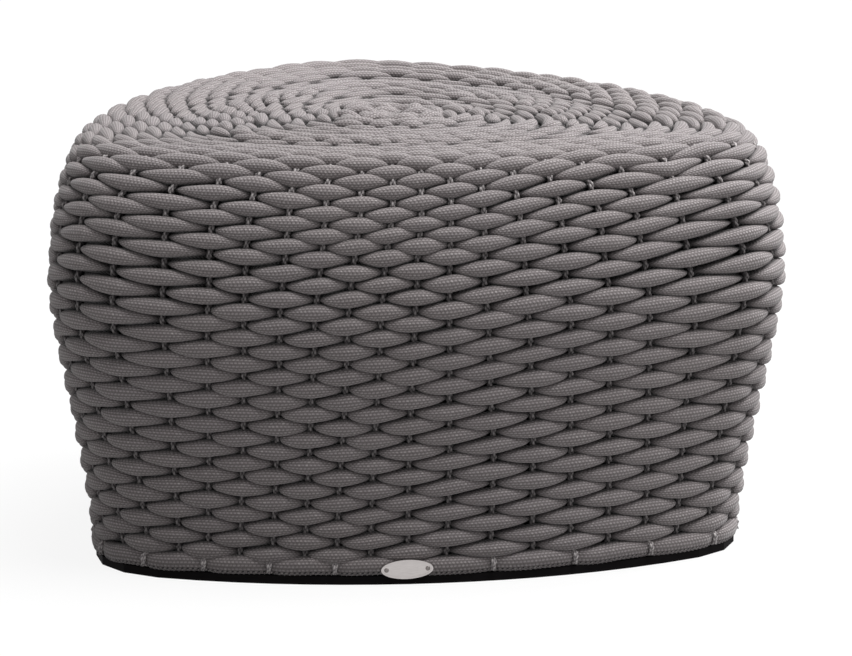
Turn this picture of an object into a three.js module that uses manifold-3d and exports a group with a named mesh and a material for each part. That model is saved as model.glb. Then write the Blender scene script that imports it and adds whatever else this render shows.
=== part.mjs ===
// Outdoor ottoman footstool: thick padded rope woven over a cage of aluminium plate.
// Millimetres, +Z up. The floor is z = 0 and the origin lies under the middle of the object's box.
// One corner of the rounded triangular plan points to +Y and the side with the badge faces -Y.
import * as THREE from 'three';
import { mergeVertices } from 'three/addons/utils/BufferGeometryUtils.js';
import Module from 'manifold-3d';

const wasm = await Module();
wasm.setup();

// Plan at the belly, to the crests of the rope
const cornerReach = 344;
const sideReach = 272;
const cornerRadius = 96;

// Profile over the middle of a side
const height = 359;
const bellyHeight = 235;
const footInset = 31.5;
const rimInset = 40.5;
const footRiseShare = 0.274;
const bellyDropShare = 0.178;
const bellyRiseShare = 0.295;
const rimRunShare = 0.84;
const roundingPower = 3;

// Weave
const warpCount = 56;
const wallPitch = 11.1;
const wallCourses = 20;
const shoulderCourses = 14;
const topCourses = 24;
const weaveThickness = 20;
const weaveDip = 6;
const bindingHeight = 13.5;
const bindingBulge = 3;
const fullWarpReach = 120;
const knotRadius = 38;
const knotRound = 8;
const knotSink = 1.5;

// Cage
const ribEvery = 4;
const ribThickness = 6;
const ribDepth = 15;
const stationCount = 12;
const hoopThickness = 5;
const hoopWidth = 15;
const lowerHoopStation = 3;
const bellyHoopStation = 7;
const shoulderHoopStation = 9;
const crownRadius = 60;
const crownWall = 8;
const crownPlateThickness = 4;
const baseRingWidth = 30;
const baseRingThickness = 5;

// Base
const bandHeight = 7;
const bandInset = 4;
const bandWidth = 26;
const panelThickness = 4;
const drainRadius = 6;
const drainReach = 120;
const drainCount = 3;

// Panel screws
const screwRadius = 2.5;
const screwHeadRadius = 4.5;
const screwHeadHeight = 2.2;
const screwEdge = 7;
const screwTip = 1;

// Badge
const badgeLength = 43;
const badgeHeight = 16;
const badgeThickness = 2;
const badgeRim = 1.4;
const badgeRecess = 0.5;
const badgeWarps = 1.07;
const badgeTiltDegrees = 1.7;
const rivetSpacing = 34;
const rivetRadius = 1;
const rivetHeadRadius = 1.9;
const rivetHeadHeight = 0.7;
const rivetCrownShare = 0.7;

// Gap between pieces that touch, and overrun of a cut
const clearance = 0.3;
const overrun = 1;

// Faces round a small hole, an oval, a screw and the crown
const holeSegments = 6;
const ovalSegments = 32;
const screwSegments = 12;
const crownSegments = warpCount / 2;

const columnStep = (2 * Math.PI) / warpCount;
const cornerBearing = Math.PI / 2;
const sideBearing = -Math.PI / 2;
const thirdTurn = (2 * Math.PI) / 3;
const ribCount = warpCount / ribEvery;

const rope = material(0x6f6a68, 0.9, 0);
const blackPlastic = material(0x161416, 0.6, 0);
const coatedMetal = material(0x3a3a3c, 0.55, 0.4);
const steel = material(0xb8b8ba, 0.35, 1);
const satinMetal = material(0xc4bcba, 0.4, 1);

function material(color, roughness, metalness) {
  return new THREE.MeshStandardMaterial({ color, roughness, metalness });
}

function columnBearing(column) {
  return cornerBearing + column * columnStep;
}

// Distance from the middle of the plan to the belly line. Three corner circles are joined by three
// shallow arcs that touch them.
function planReach(bearing) {
  const cornerDistance = cornerReach - cornerRadius;
  const sideDistance = sideReach - cornerRadius;
  const centreBack = (cornerDistance ** 2 - sideDistance ** 2) / (2 * sideDistance - cornerDistance);
  const sideRadius = centreBack + sideReach;
  const turn = THREE.MathUtils.euclideanModulo(bearing - sideBearing + thirdTurn / 2, thirdTurn);
  const offSide = Math.abs(turn - thirdTurn / 2);
  const cornerX = cornerDistance * Math.sin(thirdTurn / 2);
  const cornerY = cornerDistance * Math.cos(thirdTurn / 2);
  const touch = Math.atan2(cornerX, cornerY + centreBack);
  const touchBearing = Math.atan2(sideRadius * Math.sin(touch), sideRadius * Math.cos(touch) - centreBack);
  if (offSide <= touchBearing) {
    return circleReach(sideRadius, centreBack, offSide, Math.PI);
  }
  return circleReach(cornerRadius, cornerDistance, offSide, thirdTurn / 2);
}

// Far crossing of a ray with a circle whose centre lies `distance` away at `bearing`.
function circleReach(radius, distance, ray, bearing) {
  const along = distance * Math.cos(ray - bearing);
  const across = distance * Math.sin(ray - bearing);
  return along + Math.sqrt(radius ** 2 - across ** 2);
}

// Profile over the middle of a side, from the floor up over the shoulder to the middle of the top.
const footReach = sideReach - footInset;
const rimReach = sideReach - rimInset;
const shoulderHeight = height - bellyHeight;
const wallCurve = new THREE.CubicBezierCurve(
  new THREE.Vector2(footReach, 0),
  new THREE.Vector2(footReach, bellyHeight * footRiseShare),
  new THREE.Vector2(sideReach, bellyHeight * (1 - bellyDropShare)),
  new THREE.Vector2(sideReach, bellyHeight),
);
const shoulderCurve = new THREE.CubicBezierCurve(
  new THREE.Vector2(sideReach, bellyHeight),
  new THREE.Vector2(sideReach, bellyHeight + shoulderHeight * bellyRiseShare),
  new THREE.Vector2(rimReach + rimInset * rimRunShare, height),
  new THREE.Vector2(rimReach, height),
);
const topLine = new THREE.LineCurve(new THREE.Vector2(rimReach, height), new THREE.Vector2(0, height));
const bellyRun = wallCurve.getLength();
const rimRun = bellyRun + shoulderCurve.getLength();
const fullRun = rimRun + rimReach;

// Point and tangent of the profile at a distance `run` along it.
function profileAt(run) {
  if (run <= bellyRun) {
    return sampleCurve(wallCurve, run / bellyRun);
  }
  if (run <= rimRun) {
    return sampleCurve(shoulderCurve, (run - bellyRun) / (rimRun - bellyRun));
  }
  return sampleCurve(topLine, (run - rimRun) / rimReach);
}

function sampleCurve(curve, share) {
  const u = THREE.MathUtils.clamp(share, 0, 1);
  return { point: curve.getPointAt(u), tangent: curve.getTangentAt(u) };
}

// Reach and height of the woven surface at a bearing, `depth` below its crests. The plan is the
// rounded triangle at the rim and turns into a circle towards the middle of the top.
function section(bearing, run, depth) {
  const { point, tangent } = profileAt(run);
  const inward = 1 - Math.min(1, point.x / rimReach);
  const stretch = 1 + (planReach(bearing) / sideReach - 1) * (1 - inward ** roundingPower);
  return { reach: point.x * stretch - depth * tangent.y, z: point.y + depth * tangent.x };
}

function polar(bearing, reach, z) {
  return new THREE.Vector3(reach * Math.cos(bearing), reach * Math.sin(bearing), z);
}

// One ring of points, one to each warp. `depthAt` gives the depth at a column.
function ring(run, depthAt) {
  return Array.from({ length: warpCount }, (_, column) => {
    const bearing = columnBearing(column);
    const { reach, z } = section(bearing, run, depthAt(column));
    return polar(bearing, reach, z);
  });
}

function levelRing(run, depth) {
  return ring(run, () => depth);
}

// Closed body through rings of points: each ring joins the next, and the last joins the first. The
// diagonals turn about so that each crest of the weave stands in its own diamond.
function ringBody(rings) {
  const index = [];
  rings.forEach((_, row) => {
    const next = (row + 1) % rings.length;
    for (let column = 0; column < warpCount; column += 1) {
      const right = (column + 1) % warpCount;
      const a = row * warpCount + column;
      const b = row * warpCount + right;
      const c = next * warpCount + right;
      const d = next * warpCount + column;
      const crest = (column + row) % 2 === 0;
      index.push(...(crest ? [a, b, d, b, c, d] : [a, b, c, a, c, d]));
    }
  });
  const geometry = new THREE.BufferGeometry();
  const numbers = rings.flat().flatMap((p) => p.toArray());
  geometry.setAttribute('position', new THREE.Float32BufferAttribute(numbers, 3));
  geometry.setIndex(index);
  geometry.computeVertexNormals();
  return geometry;
}

// Depth of the woven surface: a crest where the rope passes over a warp, a dip where it passes
// under. Near the middle of the top every second warp has ended, then every second of the rest.
function weaveDepth(row, run) {
  const reach = profileAt(run).point.x;
  const spread = reach > fullWarpReach ? 1 : reach > fullWarpReach / 2 ? 2 : 4;
  return (column) => (weaveDip / 2) * (1 - Math.cos(Math.PI * (column / spread + row)));
}

function relief(runs, firstRow) {
  return runs.map((run, i) => ring(run, weaveDepth(firstRow + i, run)));
}

function evenly(count, from, to) {
  return Array.from({ length: count }, (_, i) => from + ((to - from) * i) / (count - 1));
}

// Runs of the courses: the bound edge, the wall, the shoulder and the top.
const footRun = bandHeight + clearance;
const bindingTop = footRun + bindingHeight;
const firstCourse = footRun + bindingHeight / 2;
const wallRuns = Array.from({ length: wallCourses }, (_, i) => firstCourse + wallPitch * (i + 1));
const shoulderStart = wallRuns[wallCourses - 1];
const shoulderPitch = (rimRun - shoulderStart) / (shoulderCourses + 0.5);
const shoulderRuns = Array.from({ length: shoulderCourses })
  .map((_, i) => shoulderStart + shoulderPitch * (i + 1));
const topPitch = rimReach / topCourses;
const topRuns = Array.from({ length: topCourses }, (_, i) => rimRun + topPitch * (i + 0.5))
  .filter((run) => fullRun - run > knotRadius + topPitch / 2);
const stations = evenly(stationCount, bindingTop + clearance, rimRun - clearance / 2);

function wovenSide() {
  const outer = [
    levelRing(stations[0], weaveDip),
    ...relief([...wallRuns, ...shoulderRuns], 1),
    levelRing(stations[stationCount - 1], weaveDip),
  ];
  const inner = [...stations].reverse().map((run) => levelRing(run, weaveThickness));
  return ringBody([...outer, ...inner]);
}

function wovenTop() {
  const start = rimRun + clearance / 2;
  const hole = fullRun - knotRadius - clearance;
  return ringBody([
    levelRing(start, weaveDip),
    ...relief(topRuns, 1),
    levelRing(hole, weaveDip),
    levelRing(hole, weaveThickness),
    levelRing(start, weaveThickness),
  ]);
}

function edgeBinding() {
  const middle = (footRun + bindingTop) / 2;
  return ringBody([
    levelRing(footRun, bindingBulge),
    levelRing(middle, 0),
    levelRing(bindingTop, bindingBulge),
    levelRing(bindingTop, weaveThickness),
    levelRing(footRun, weaveThickness),
  ]);
}

// Solid of revolution from a half section given as pairs of reach and height.
function turned(pairs, segments) {
  const points = pairs.map(([reach, z]) => new THREE.Vector2(reach, z));
  const geometry = new THREE.LatheGeometry([...points, points[0].clone()], segments);
  geometry.rotateX(Math.PI / 2);
  return geometry;
}

function startKnot() {
  const top = height - knotSink;
  const bottom = height - weaveThickness;
  return turned([
    [0, bottom],
    [knotRadius, bottom],
    [knotRadius, top - knotRound],
    [knotRadius - knotRound / 3, top - knotRound / 3],
    [knotRadius - knotRound, top],
    [0, top],
  ], crownSegments);
}

// Outline of the foot, `depth` in from the crests, as a list of plan points.
function footOutline(depth) {
  return levelRing(footRun, depth).map((p) => new THREE.Vector2(p.x, p.y));
}

function hole(x, y, radius) {
  return new THREE.Path().absarc(x, y, radius, 0, 2 * Math.PI, false);
}

function extruded(outline, holes, bottom, thickness) {
  const shape = new THREE.Shape(outline);
  shape.holes.push(...holes);
  const settings = { depth: thickness, bevelEnabled: false, curveSegments: holeSegments };
  const geometry = new THREE.ExtrudeGeometry(shape, settings);
  geometry.translate(0, 0, bottom);
  return geometry;
}

function hoop(outline, inner, bottom, thickness, holes = []) {
  return extruded(outline, [new THREE.Path(inner), ...holes], bottom, thickness);
}

// Cage. A rib's outer edge follows the inner face of the weave. Across its thickness that face falls
// away on one side or both, most at the corners, and the gap allows for it.
const baseRingTop = footRun + baseRingThickness;
const ribFoot = baseRingTop + clearance;
const crownEdge = crownRadius + clearance;

function fallsAcross(bearing, run) {
  const here = section(bearing, run, weaveThickness).reach;
  return [-columnStep, columnStep].map((turn) => {
    const beside = section(bearing + turn, run, weaveThickness).reach;
    return (here - beside * Math.cos(turn)) / (beside * Math.sin(Math.abs(turn)));
  });
}

function ribOuterDepth(bearing) {
  const fall = Math.max(0, ...fallsAcross(bearing, footRun), ...fallsAcross(bearing, rimRun));
  return weaveThickness + clearance + (ribThickness / 2) * fall;
}

function ribInnerDepth(bearing) {
  return ribOuterDepth(bearing) + ribDepth;
}

function ribEdge(bearing, depth) {
  const foot = section(bearing, ribFoot, depth);
  const climb = stations.map((run) => section(bearing, run, depth));
  const top = { reach: crownEdge, z: height - depth };
  return [{ reach: foot.reach, z: ribFoot }, ...climb, top].map(({ reach, z }) => new THREE.Vector2(reach, z));
}

function rib(bearing) {
  const outer = ribEdge(bearing, ribOuterDepth(bearing));
  const inner = ribEdge(bearing, ribInnerDepth(bearing));
  const geometry = extruded([...inner, ...outer.reverse()], [], -ribThickness / 2, ribThickness);
  geometry.rotateX(Math.PI / 2);
  return geometry;
}

// Level hoop against the inner edges of the ribs, at one of the stations of the profile. The gap allows
// for the lean of the rib and for the slant of the hoop across it.
function cageHoop(station) {
  const run = stations[station];
  const gap = (bearing) => {
    const [below, here, above] = [station - 1, station, station + 1]
      .map((place) => section(bearing, stations[place], ribInnerDepth(bearing)));
    const leans = [below, above].map((other) => (here.reach - other.reach) / Math.abs(here.z - other.z));
    const lean = Math.max(0, ...leans);
    const slant = Math.max(0, ...fallsAcross(bearing, run).map((fall) => -fall));
    return clearance + (hoopThickness / 2) * lean + (ribThickness / 2) * slant;
  };
  const outline = (inset) => ring(run, (column) => {
    const bearing = columnBearing(column);
    return ribInnerDepth(bearing) + gap(bearing) + inset;
  }).map((p) => new THREE.Vector2(p.x, p.y));
  const level = section(cornerBearing, run, ribInnerDepth(cornerBearing)).z;
  return hoop(outline(0), outline(hoopWidth), level - hoopThickness / 2, hoopThickness);
}

function crownRing() {
  const top = height - weaveThickness - clearance;
  const inner = crownRadius - crownWall;
  return turned([
    [inner, top - ribDepth],
    [crownRadius, top - ribDepth],
    [crownRadius, top],
    [inner, top],
  ], crownSegments);
}

function crownPlate() {
  const top = height - weaveThickness - clearance;
  const reach = crownRadius - crownWall - clearance;
  return turned([
    [0, top - crownPlateThickness],
    [reach, top - crownPlateThickness],
    [reach, top],
    [0, top],
  ], crownSegments);
}

// Base
const panelDepth = bandInset + bandWidth + clearance;
const panelBottom = bandHeight - panelThickness;

function screwPlaces() {
  return Array.from({ length: Math.floor(ribCount / 2) }, (_, i) => {
    const bearing = columnBearing((2 * i + 0.5) * ribEvery);
    const { reach } = section(bearing, footRun, panelDepth + screwEdge);
    return polar(bearing, reach, 0);
  });
}

function screwHoles() {
  return screwPlaces().map((place) => hole(place.x, place.y, screwRadius + clearance));
}

function baseRing() {
  const outer = weaveThickness + clearance;
  const inner = footOutline(outer + baseRingWidth);
  return hoop(footOutline(outer), inner, footRun, baseRingThickness, screwHoles());
}

function baseBand() {
  return hoop(footOutline(bandInset), footOutline(bandInset + bandWidth), 0, bandHeight);
}

function basePanel() {
  const drains = Array.from({ length: drainCount }, (_, i) => {
    const place = polar(cornerBearing + (i * 2 * Math.PI) / drainCount, drainReach, 0);
    return hole(place.x, place.y, drainRadius);
  });
  return extruded(footOutline(panelDepth), [...screwHoles(), ...drains], panelBottom, panelThickness);
}

function panelScrew() {
  const headTop = panelBottom - clearance;
  const tip = baseRingTop + screwTip;
  return turned([
    [0, headTop - screwHeadHeight],
    [screwHeadRadius, headTop - screwHeadHeight],
    [screwHeadRadius, headTop],
    [screwRadius, headTop],
    [screwRadius, tip],
    [0, tip],
  ], screwSegments);
}

// Badge, flat in its own frame with +Z away from the weave.
function solid(geometry) {
  const bare = geometry.clone();
  bare.deleteAttribute('normal');
  bare.deleteAttribute('uv');
  const merged = mergeVertices(bare);
  const mesh = new wasm.Mesh({
    numProp: 3,
    vertProperties: new Float32Array(merged.attributes.position.array),
    triVerts: new Uint32Array(merged.index.array),
  });
  return new wasm.Manifold(mesh);
}

function surface(body) {
  const mesh = body.getMesh();
  const geometry = new THREE.BufferGeometry();
  geometry.setAttribute('position', new THREE.BufferAttribute(new Float32Array(mesh.vertProperties), 3));
  geometry.setIndex(new THREE.BufferAttribute(new Uint32Array(mesh.triVerts), 1));
  geometry.computeVertexNormals();
  return geometry;
}

function oval(length, width, bottom, thickness, holes = []) {
  const outline = new THREE.EllipseCurve(0, 0, length / 2, width / 2).getPoints(ovalSegments).slice(0, -1);
  return extruded(outline, holes, bottom, thickness);
}

function badge() {
  const rivetHoles = [-1, 1].map((side) => hole((side * rivetSpacing) / 2, 0, rivetRadius + clearance));
  const plate = solid(oval(badgeLength, badgeHeight, 0, badgeThickness, rivetHoles));
  const floor = badgeThickness - badgeRecess;
  const [length, width] = [badgeLength - 2 * badgeRim, badgeHeight - 2 * badgeRim];
  const recess = solid(oval(length, width, floor, badgeRecess + overrun));
  return surface(plate.subtract(recess));
}

function badgeRivet() {
  const headBottom = badgeThickness - badgeRecess + clearance;
  const headTop = headBottom + rivetHeadHeight;
  return turned([
    [0, 0],
    [rivetRadius, 0],
    [rivetRadius, headBottom],
    [rivetHeadRadius, headBottom],
    [rivetHeadRadius * rivetCrownShare, headTop],
    [0, headTop],
  ], screwSegments);
}

function named(name, geometry, finish) {
  const mesh = new THREE.Mesh(geometry, finish);
  mesh.name = name;
  return mesh;
}

function wovenCover() {
  const group = new THREE.Group();
  group.add(
    named('woven_side', wovenSide(), rope),
    named('woven_top', wovenTop(), rope),
    named('start_knot', startKnot(), rope),
    named('edge_binding', edgeBinding(), rope),
  );
  return group;
}

function cage() {
  const group = new THREE.Group();
  group.add(
    named('base_ring', baseRing(), coatedMetal),
    named('lower_hoop', cageHoop(lowerHoopStation), coatedMetal),
    named('belly_hoop', cageHoop(bellyHoopStation), coatedMetal),
    named('shoulder_hoop', cageHoop(shoulderHoopStation), coatedMetal),
    named('crown_ring', crownRing(), coatedMetal),
    named('crown_plate', crownPlate(), coatedMetal),
  );
  for (let i = 0; i < ribCount; i += 1) {
    const bearing = columnBearing(i * ribEvery);
    const mesh = named(`rib_${i + 1}`, rib(bearing), coatedMetal);
    mesh.rotation.z = bearing;
    group.add(mesh);
  }
  return group;
}

function base() {
  const group = new THREE.Group();
  group.add(
    named('base_band', baseBand(), blackPlastic),
    named('base_panel', basePanel(), blackPlastic),
  );
  screwPlaces().forEach((place, i) => {
    const mesh = named(`panel_screw_${i + 1}`, panelScrew(), steel);
    mesh.position.copy(place);
    group.add(mesh);
  });
  return group;
}

// The badge lies on the bulge of the bound edge, about one warp to the left of the middle of its side.
function badgeAssembly() {
  const group = new THREE.Group();
  const bearing = columnBearing(warpCount / 2 - badgeWarps);
  const run = (footRun + bindingTop) / 2;
  const at = (offset) => polar(bearing + offset, section(bearing + offset, run, 0).reach, run);
  const along = at(columnStep).sub(at(-columnStep));
  const outward = new THREE.Vector3(along.y, -along.x, 0).normalize();
  group.up.set(0, 0, 1);
  group.position.copy(at(0)).addScaledVector(outward, clearance);
  group.lookAt(group.position.clone().add(outward));
  group.rotateZ(THREE.MathUtils.degToRad(badgeTiltDegrees));
  group.add(named('badge', badge(), satinMetal));
  [-1, 1].forEach((side) => {
    const mesh = named(side < 0 ? 'badge_rivet_left' : 'badge_rivet_right', badgeRivet(), steel);
    mesh.position.x = (side * rivetSpacing) / 2;
    group.add(mesh);
  });
  return group;
}

const ottoman = new THREE.Group();
ottoman.add(wovenCover(), cage(), base(), badgeAssembly());
ottoman.updateMatrixWorld(true);
const middle = new THREE.Box3().setFromObject(ottoman).getCenter(new THREE.Vector3());
ottoman.position.set(-middle.x, -middle.y, 0);

export default ottoman;
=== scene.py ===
"""Outdoor ottoman footstool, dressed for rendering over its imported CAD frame.

Thick padded rope is woven in courses round a rounded triangular cage. It passes over and under
twisted warp cords that climb the sides and run in to the middle of the top. The last course is
bound off over a black base band, and carries a small blank metal badge.
"""

import logging
import math
from dataclasses import dataclass, field
from enum import Enum

import bpy
import numpy as np
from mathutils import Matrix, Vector


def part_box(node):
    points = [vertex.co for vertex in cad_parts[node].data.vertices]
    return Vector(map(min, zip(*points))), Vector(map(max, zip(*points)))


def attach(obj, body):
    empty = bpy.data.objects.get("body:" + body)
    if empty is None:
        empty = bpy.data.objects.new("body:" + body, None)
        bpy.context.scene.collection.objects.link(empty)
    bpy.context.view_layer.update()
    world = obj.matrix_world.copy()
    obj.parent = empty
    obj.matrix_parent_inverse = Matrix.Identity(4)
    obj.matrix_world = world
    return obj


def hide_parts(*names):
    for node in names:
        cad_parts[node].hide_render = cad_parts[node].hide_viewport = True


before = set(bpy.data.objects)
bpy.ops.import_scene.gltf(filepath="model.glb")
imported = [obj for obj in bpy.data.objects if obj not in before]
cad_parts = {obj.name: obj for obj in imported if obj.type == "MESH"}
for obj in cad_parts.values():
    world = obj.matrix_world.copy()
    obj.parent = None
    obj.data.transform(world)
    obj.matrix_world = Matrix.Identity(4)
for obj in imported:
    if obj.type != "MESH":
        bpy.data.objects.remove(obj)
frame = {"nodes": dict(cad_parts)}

MM = 0.001
TURN = 2 * math.pi
CORNERS = 3
WARPS = 56
BRAID_MAP = "braid"
# Depth of each point in the cover, which the yarn finishes paint as shade in the folds
FOLD_MAP = "fold_depth"
BODY = "root"
WHITE = "#ffffff"

Array = np.ndarray
Piece = bpy.types.Object
Material = bpy.types.Material
Tree = bpy.types.NodeTree
Node = bpy.types.Node
Socket = bpy.types.NodeSocket
Inputs = dict[int | str, object]
Point = tuple[float, float, float]

log = logging.getLogger("ottoman")


# Helpers


def linear(code: str) -> tuple[float, float, float, float]:
    """Turns an sRGB hex colour to the linear values of a shader socket.

    Args:
        code: colour as #rrggbb.

    Returns:
        Linear red, green and blue, and full opacity.
    """
    knee, slope, offset, scale, power = 0.04045, 12.92, 0.055, 1.055, 2.4
    parts = [int(code[i : i + 2], 16) / 255 for i in (1, 3, 5)]
    values = [p / slope if p <= knee else ((p + offset) / scale) ** power for p in parts]
    return (*values, 1.0)


def add_node(tree: Tree, kind: str, inputs: Inputs | None = None, **settings: object) -> Node:
    """Adds a shader node with its settings, constants and links.

    Args:
        tree: node tree that takes the node.
        kind: Blender's type name of the node.
        inputs: by input name or number, a constant, the socket that feeds the input, or a node
            whose first output in use feeds it.
        settings: the node's own properties by name.

    Returns:
        The new node.
    """
    node = tree.nodes.new(kind)
    for key, value in settings.items():
        setattr(node, key, value)
    for key, value in (inputs or {}).items():
        if isinstance(value, Node):
            value = next(output for output in value.outputs if output.enabled)
        if isinstance(value, Socket):
            tree.links.new(value, node.inputs[key])
        else:
            node.inputs[key].default_value = value
    return node


def dress(piece: Piece, finish: Material) -> None:
    """Gives a piece or a CAD node one finish in place of whatever it had.

    Args:
        piece: mesh object.
        finish: material for all of its faces.
    """
    piece.data.materials.clear()
    piece.data.materials.append(finish)


# Finishes


@dataclass(frozen=True)
class Finish:
    """A surface finish, named for what the real material is."""

    name: str = ""
    rough: float = 0.5
    relief: float = 0.1 * MM
    relief_strength: float = 1.0

    def material(self) -> Material:
        """Makes the finish as a Blender material.

        Returns:
            The material, with its surface joined to the output.
        """
        made = bpy.data.materials.new(self.name)
        made.use_nodes = True
        tree = made.node_tree
        tree.nodes.clear()
        add_node(tree, "ShaderNodeOutputMaterial", {"Surface": self.surface(tree)})
        return made

    def surface(self, tree: Tree) -> Node:
        """Builds the finish's own nodes in an empty tree, and gives the shader at their end."""
        raise NotImplementedError

    def shader(self, tree: Tree, colour: Node, height: Node | Socket, own: Inputs) -> Node:
        """Ends a finish with its relief and its shader.

        Args:
            tree: node tree.
            colour: node that gives the colour.
            height: node or socket that gives the relief.
            own: further inputs of the shader.

        Returns:
            The shader node.
        """
        size = {"Strength": self.relief_strength, "Distance": self.relief}
        bump = add_node(tree, "ShaderNodeBump", {"Height": height, **size})
        inputs = {"Base Color": colour, "Normal": bump, "Roughness": self.rough, **own}
        return add_node(tree, "ShaderNodeBsdfPrincipled", inputs)


@dataclass(frozen=True)
class FoldShadedYarn(Finish):
    """Yarn whose colour is darkened by its depth in the cover, as painted shade.

    The faces keep the colour given, while yarn down in the folds is painted darker, as painted
    shade, so each bulge of a weave has a dark line round it.
    """

    # Painted shade: the dark colour that yarn deep in the folds is painted towards
    fold_shade: str = "#4c484a"
    fold_from: float = 3.6 * MM
    fold_to: float = 10.5 * MM
    sheen: float = 0.1

    def shaded(self, tree: Tree, place: Node) -> Node:
        """Reads how deep in the cover the yarn lies.

        Args:
            tree: node tree.
            place: node that gives the yarn's map.

        Returns:
            The node with the shade, from none on the faces to full in the folds.
        """
        depth = add_node(tree, "ShaderNodeAttribute", attribute_name=FOLD_MAP).outputs["Fac"]
        reach = {"Value": depth, "From Min": self.fold_from, "From Max": self.fold_to}
        return add_node(tree, "ShaderNodeMapRange", reach, interpolation_type="SMOOTHSTEP")

    def fold_shaded(self, tree: Tree, place: Node, colour: Node) -> Node:
        """Darkens a colour with painted shade in the folds.

        Args:
            tree: node tree.
            place: node that gives the yarn's map.
            colour: node with the colour of the faces.

        Returns:
            The node with the colour of the whole.
        """
        tones = {"Factor": self.shaded(tree, place), "A": colour, "B": linear(self.fold_shade)}
        return add_node(tree, "ShaderNodeMix", tones, data_type="RGBA", blend_type="MULTIPLY")


@dataclass(frozen=True)
class BraidedRope(FoldShadedYarn):
    """Olefin yarn coloured in the melt before spinning, braided as a sleeve over a soft core.

    Crossing strands give a fine grid of crowns with grooves between them. The colour paints the
    grooves darker, as painted shade, and the crowns lighter with flecks, as painted highlights.
    The yarn is matt with a faint sheen, and its dye shifts a little from length to length. One
    unit of the rope's map is one strand repeat of 3.2 mm.
    """

    name: str = "braided_olefin_rope"
    groove_shade: str = "#7e7777"
    warm: str = "#aca3a1"
    cool: str = "#a7a1a5"
    glint: str = "#cbc5c4"
    rough: float = 0.7
    relief: float = 0.5 * MM
    relief_strength: float = 0.9
    sheen: float = 0.3
    sheen_rough: float = 0.45
    specular: float = 0.25
    lit_range: tuple[float, float] = (0.1, 0.9)
    # The dye drifts over about 110 mm, so nine times a metre
    drift_scale: float = 9.0
    # A painted highlight speck is about 2.5 mm long, so there is room for 1.3 in a strand repeat
    glint_scale: float = 1.3
    glint_range: tuple[float, float] = (0.5, 0.75)
    glint_share: float = 0.75

    def strands(self, tree: Tree, place: Node) -> Node:
        """Builds the strands, which cross on the slant, each over one and under the next.

        Args:
            tree: node tree.
            place: node that gives the rope's map.

        Returns:
            The node with their height, from 0 in the grooves to 1 on the crowns.
        """
        slant, unit = math.pi / 4, math.pi * math.sqrt(2)
        turned = {"Vector": place, "Rotation": (0, 0, slant), "Scale": (unit, unit, 1)}
        diagonal = add_node(tree, "ShaderNodeMapping", turned)
        wave = add_node(tree, "ShaderNodeVectorMath", {0: diagonal}, operation="SINE")
        across = add_node(tree, "ShaderNodeVectorMath", {0: wave}, operation="ABSOLUTE")
        signed = add_node(tree, "ShaderNodeSeparateXYZ", {0: wave}).outputs
        ridge = add_node(tree, "ShaderNodeSeparateXYZ", {0: across}).outputs
        pair = {0: signed[0], 1: signed[1]}
        parity = add_node(tree, "ShaderNodeMath", pair, operation="MULTIPLY")
        over = add_node(tree, "ShaderNodeMath", {0: parity, 1: 0.0}, operation="GREATER_THAN")
        domes = []
        for main, other in ((0, 1), (1, 0)):
            half = {0: ridge[other], 1: 0.5, 2: 0.5}
            crown = add_node(tree, "ShaderNodeMath", half, operation="MULTIPLY_ADD")
            pair = {0: ridge[main], 1: crown}
            domes.append(add_node(tree, "ShaderNodeMath", pair, operation="MULTIPLY"))
        heights = {"Factor": over, "A": domes[1], "B": domes[0]}
        return add_node(tree, "ShaderNodeMix", heights, data_type="FLOAT")

    def crowns(self, tree: Tree, place: Node, height: Node) -> Node:
        """Finds the crowns of the strands, which are painted lighter as dashes in rows along the
        rope.

        Args:
            tree: node tree.
            place: node that gives the rope's map.
            height: node that gives the height of the strands.

        Returns:
            The node with the painted light, from 0 in the grooves to 1 on the crowns.
        """
        scaled = {0: place, "Scale": TURN}
        turned = add_node(tree, "ShaderNodeVectorMath", scaled, operation="SCALE")
        rows = add_node(tree, "ShaderNodeVectorMath", {0: turned}, operation="COSINE")
        row = add_node(tree, "ShaderNodeSeparateXYZ", {0: rows}).outputs["Y"]
        stripe = add_node(tree, "ShaderNodeMath", {0: row, 1: row}, operation="MULTIPLY")
        long = add_node(tree, "ShaderNodeMath", {0: height}, operation="SQRT")
        pair = {0: long, 1: stripe}
        dash = add_node(tree, "ShaderNodeMath", pair, operation="MULTIPLY", use_clamp=True)
        low, high = self.lit_range
        reach = {"Value": dash, "From Min": low, "From Max": high}
        return add_node(tree, "ShaderNodeMapRange", reach, interpolation_type="SMOOTHSTEP")

    def surface(self, tree: Tree) -> Node:
        """Builds the braid, its drifting dye, and its painted shade and painted highlights.

        Args:
            tree: empty node tree.

        Returns:
            The shader node at the end.
        """
        place = add_node(tree, "ShaderNodeUVMap", uv_map=BRAID_MAP)
        height = self.strands(tree, place)
        shade = self.crowns(tree, place, height)
        where = add_node(tree, "ShaderNodeTexCoord").outputs["Object"]
        spots = {"Vector": where, "Scale": self.drift_scale, "Detail": 3.0}
        drift = add_node(tree, "ShaderNodeTexNoise", spots).outputs["Fac"]
        tones = {"Factor": drift, "A": linear(self.warm), "B": linear(self.cool)}
        dye = add_node(tree, "ShaderNodeMix", tones, data_type="RGBA")
        # Painted shade: the grooves darker, the crowns in the yarn's own drifting tone
        tones = {"Factor": shade, "A": linear(self.groove_shade), "B": dye}
        braid = add_node(tree, "ShaderNodeMix", tones, data_type="RGBA")
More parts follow.
